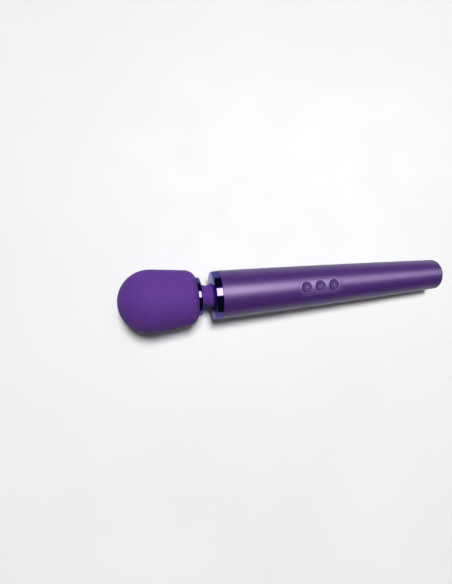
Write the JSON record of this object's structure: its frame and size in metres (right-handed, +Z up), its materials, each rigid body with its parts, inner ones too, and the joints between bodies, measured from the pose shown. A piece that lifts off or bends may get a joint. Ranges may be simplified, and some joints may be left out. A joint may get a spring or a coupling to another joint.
{
  "type": "handheld wand massager",
  "caption": "Cordless wand massager with a soft ball head on a flexible neck, plated rings, a long tapered handle, push buttons in a sunk panel and a charging socket in the tail.",
  "frame": {"origin": "on the surface it lies on, under the middle of its bounding box", "axes": "+X along the wand from the head to the tail, +Z up towards the buttons; the wand's own axis dips 2.7 degrees towards the tail, as it lies on its head and tail edge"},
  "size_m": [0.3362, 0.06, 0.06],
  "materials": {
    "silicone": "satin",
    "plated_plastic": "polished",
    "satin_shell": "satin",
    "pearl_panel": "satin",
    "key_plastic": "satin",
    "hard_core": "matte",
    "black_plastic": "satin",
    "steel": "satin",
    "screw_steel": "satin",
    "brass": "satin",
    "copper": "satin",
    "carbon": "matte",
    "ferrite": "matte",
    "cell_can": "satin",
    "circuit_board": "satin",
    "mount_rubber": "matte",
    "foam": "matte",
    "lead_rubber": "satin",
    "nickel": "satin"
  },
  "bodies": {
    "handle": {"collar_ring": "plated_plastic", "rear_neck_clamp": "black_plastic", "rear_clamp_screws": "screw_steel", "handle_upper_shell": "satin_shell", "handle_lower_shell": "satin_shell", "button_panel": "pearl_panel", "switch_bases": "black_plastic", "battery_tray": "black_plastic", "tray_screws": "screw_steel", "battery_cells": "cell_can", "battery_tabs": "nickel", "battery_leads": "lead_rubber", "foam_pads": "foam", "control_board": "circuit_board", "board_screws": "screw_steel", "board_connectors": "black_plastic", "control_chips": "black_plastic", "charge_leads": "lead_rubber", "charge_board": "circuit_board", "charge_board_screws": "screw_steel", "charge_chips": "black_plastic", "charge_jack": "black_plastic", "jack_contacts": "brass", "tail_cap": "satin_shell"},
    "plus_key": {"plus_button": "key_plastic", "plus_switch_plunger": "black_plastic"},
    "pattern_key": {"pattern_button": "key_plastic", "pattern_switch_plunger": "black_plastic"},
    "minus_key": {"minus_button": "key_plastic", "minus_switch_plunger": "black_plastic"},
    "neck": {"neck_sleeve": "silicone", "neck_spring": "steel", "motor_leads": "lead_rubber"},
    "head": {"head_cover": "silicone", "head_ring": "plated_plastic", "head_core_front": "hard_core", "head_core_rear": "hard_core", "core_screws": "screw_steel", "front_neck_clamp": "steel", "front_clamp_screws": "screw_steel", "motor_front_plate": "hard_core", "motor_plate_screws": "screw_steel", "motor_screws": "screw_steel", "motor_mount_sleeve": "mount_rubber", "motor_can": "steel", "motor_magnets": "ferrite", "motor_end_bell": "black_plastic", "motor_brushes": "carbon", "motor_terminals": "brass", "front_bushing": "brass", "rear_bushing": "brass"},
    "rotor": {"motor_shaft": "steel", "armature_core": "steel", "armature_windings": "copper", "commutator": "copper", "eccentric_weight": "steel", "weight_set_screw": "screw_steel"}
  },
  "joints": [
    {"name": "neck_pitch", "type": "hinge", "parent": "handle", "child": "neck", "pos_m": [-0.08569, 0, 0.02752], "axis": [0, 1, 0], "range_deg": [-20, 20], "stiffness_Nm_per_rad": 6, "deforming": ["neck_sleeve", "neck_spring", "motor_leads"]},
    {"name": "neck_yaw", "type": "hinge", "parent": "neck", "child": "head", "pos_m": [-0.08569, 0, 0.02752], "axis": [0.0472, 0, 0.9989], "range_deg": [-20, 20], "stiffness_Nm_per_rad": 6, "deforming": ["neck_sleeve", "neck_spring", "motor_leads"]},
    {"name": "rotor_spin", "type": "hinge", "parent": "head", "child": "rotor", "pos_m": [-0.12814, 0, 0.02953], "axis": [0.9989, 0, -0.0472], "continuous": true},
    {"name": "plus_press", "type": "slide", "parent": "handle", "child": "plus_key", "axis": [-0.0472, 0, -0.9989], "range_m": [0, 0.0005], "stiffness_N_per_m": 1500},
    {"name": "pattern_press", "type": "slide", "parent": "handle", "child": "pattern_key", "axis": [-0.0472, 0, -0.9989], "range_m": [0, 0.0005], "stiffness_N_per_m": 1500},
    {"name": "minus_press", "type": "slide", "parent": "handle", "child": "minus_key", "axis": [-0.0472, 0, -0.9989], "range_m": [0, 0.0005], "stiffness_N_per_m": 1500}
  ]
}
